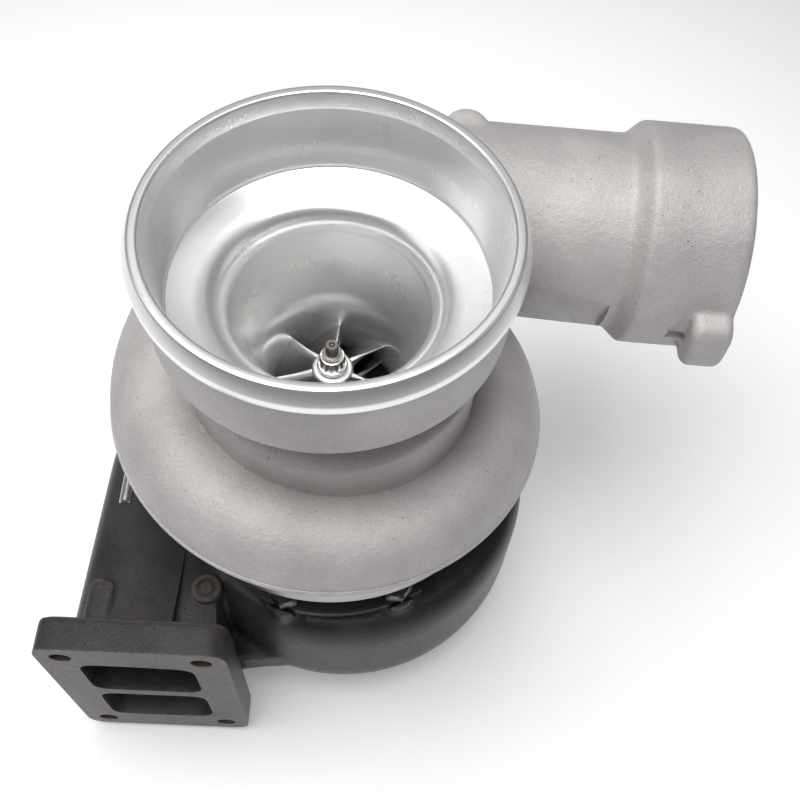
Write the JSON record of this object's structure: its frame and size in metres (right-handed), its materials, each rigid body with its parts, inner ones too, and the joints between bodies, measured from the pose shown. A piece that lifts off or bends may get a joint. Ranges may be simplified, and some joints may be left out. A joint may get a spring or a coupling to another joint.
{
  "type": "turbocharger",
  "caption": "Turbocharger: cast aluminium compressor housing with a wide inlet bell and side outlet duct, over an iron turbine housing with a divided inlet flange; the rotor spins.",
  "frame": {"origin": "centre of the turbine inlet flange's face, on its divider wall", "axes": "-Y is the inlet flange's outward normal, +Z runs along the rotor axis to the compressor inlet, +X points the way the compressor outlet leaves"},
  "size_m": [0.2505, 0.206, 0.239],
  "materials": {
    "cast_aluminium": "blasted casting with a bright turned inlet",
    "wheel_aluminium": "smooth cast",
    "cast_iron": "rough dark casting",
    "steel": "satin",
    "dark_steel": "dark satin",
    "bronze": "satin",
    "rubber": "matt"
  },
  "bodies": {
    "housing": {"compressor_housing": "cast_aluminium", "compressor_back_plate": "cast_aluminium", "back_plate_seal_ring": "rubber", "back_plate_bolt_1": "steel", "back_plate_bolt_2": "steel", "back_plate_bolt_3": "steel", "back_plate_bolt_4": "steel", "v_band_clamp": "steel", "t_bolt": "steel", "t_bolt_nut": "steel", "bearing_housing": "cast_iron", "journal_spacer": "steel", "retaining_ring_1": "dark_steel", "retaining_ring_2": "dark_steel", "thrust_bearing": "bronze", "oil_seal_plate": "dark_steel", "turbine_piston_ring": "dark_steel", "compressor_piston_ring": "dark_steel", "heat_shield": "dark_steel", "turbine_housing": "cast_iron", "clamp_plate_1": "dark_steel", "clamp_plate_2": "dark_steel", "clamp_plate_3": "dark_steel", "clamp_bolt_1": "steel", "clamp_bolt_2": "steel", "clamp_bolt_3": "steel", "clamp_bolt_4": "steel", "clamp_bolt_5": "steel", "clamp_bolt_6": "steel"},
    "rotor": {"turbine_wheel_and_shaft": "dark_steel", "compressor_wheel": "wheel_aluminium", "shaft_nut": "steel", "thrust_washer": "steel", "flinger_sleeve": "steel"},
    "turbine_journal": {"turbine_journal_bearing": "bronze"},
    "compressor_journal": {"compressor_journal_bearing": "bronze"}
  },
  "joints": [
    {"name": "rotor_spin", "type": "hinge", "parent": "housing", "child": "rotor", "pos_m": [0.0679, 0.0892, 0.05], "axis": [0, 0, 1], "continuous": true},
    {"name": "turbine_journal_float", "type": "hinge", "parent": "housing", "child": "turbine_journal", "pos_m": [0.0679, 0.0892, 0.0275], "axis": [0, 0, 1], "continuous": true},
    {"name": "compressor_journal_float", "type": "hinge", "parent": "housing", "child": "compressor_journal", "pos_m": [0.0679, 0.0892, 0.047], "axis": [0, 0, 1], "continuous": true}
  ]
}
